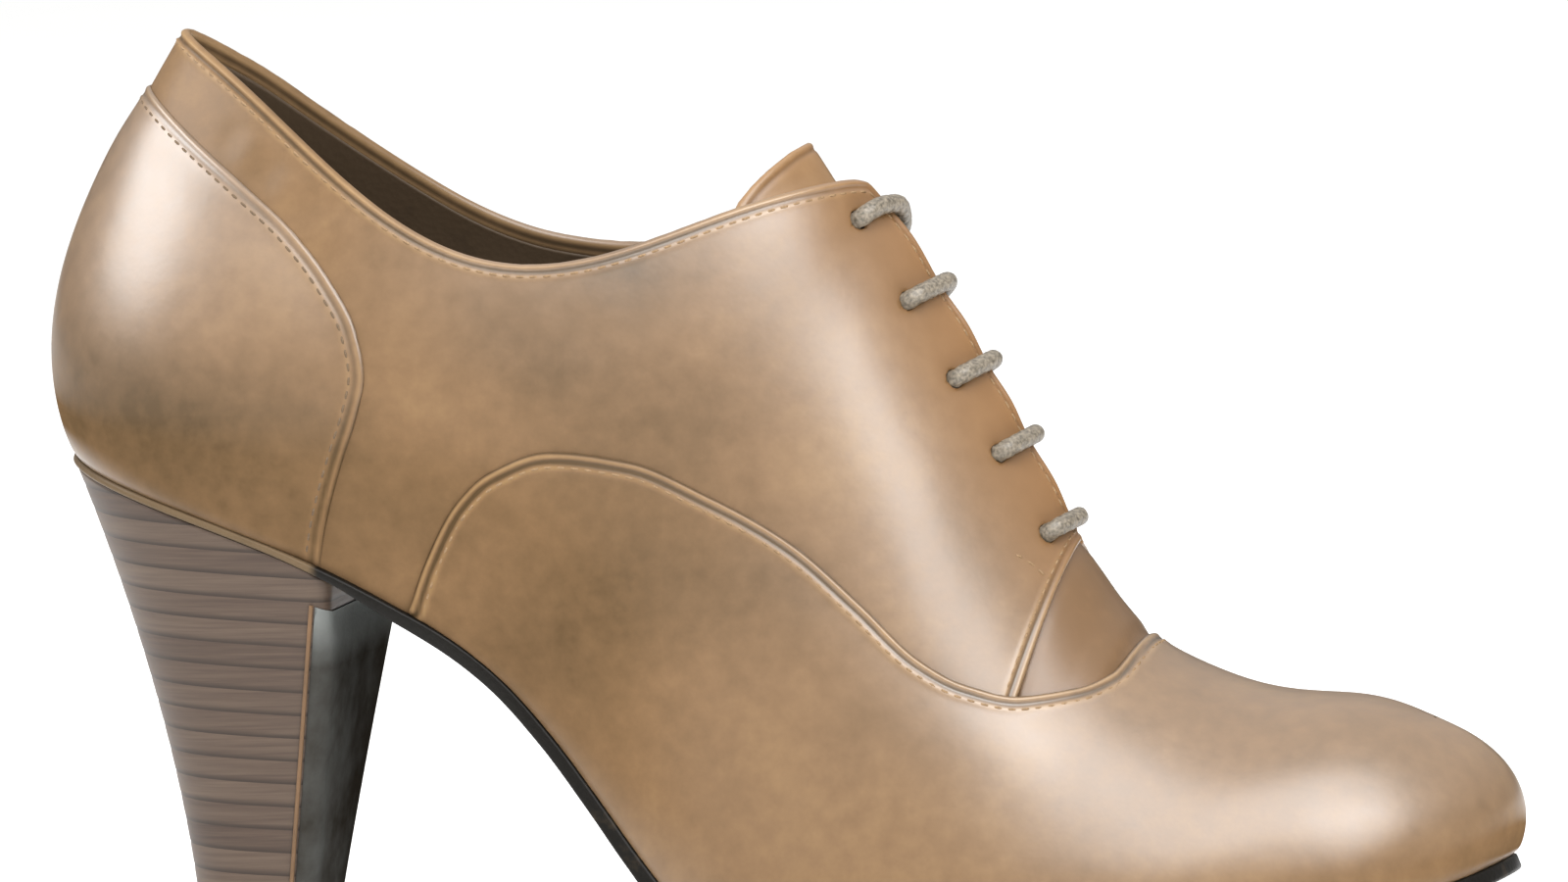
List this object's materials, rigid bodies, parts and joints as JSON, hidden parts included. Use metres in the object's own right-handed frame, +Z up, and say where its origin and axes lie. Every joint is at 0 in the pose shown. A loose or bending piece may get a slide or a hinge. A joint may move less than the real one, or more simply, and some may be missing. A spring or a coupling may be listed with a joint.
{
  "type": "high-heeled derby shoe",
  "caption": "Lace-up derby shoe for the right foot in smooth leather, with a hollow upper, a lapped vamp and counter, a tongue, straight laces, a thin sole and a tall stacked heel.",
  "frame": {"origin": "middle of the shoe's box on the floor it stands on", "axes": "+X from the heel to the toe, +Y to the inner side of the foot, +Z up"},
  "size_m": [0.2218, 0.074, 0.1446],
  "materials": {
    "upper_leather": "smooth taupe calf, polished",
    "tongue_leather": "smooth taupe calf, satin",
    "lining_leather": "dark brown lining, matt",
    "sole_black": "black, satin edge",
    "heel_stack": "brown stacked lifts, satin",
    "breast_leather": "dark smooth cover, glossy",
    "lift_rubber": "black rubber, matt",
    "lace_cord": "round waxed grey taupe cord"
  },
  "bodies": {
    "root": {"upper": "upper_leather", "vamp": "upper_leather", "counter": "upper_leather", "tongue": "tongue_leather", "insole": "lining_leather", "outsole": "sole_black", "heel": "heel_stack", "heel_breast": "breast_leather", "heel_top_piece": "lift_rubber", "lace_bar_1": "lace_cord", "lace_bar_2": "lace_cord", "lace_bar_3": "lace_cord", "lace_bar_4": "lace_cord", "lace_bar_5": "lace_cord"}
  },
  "joints": []
}
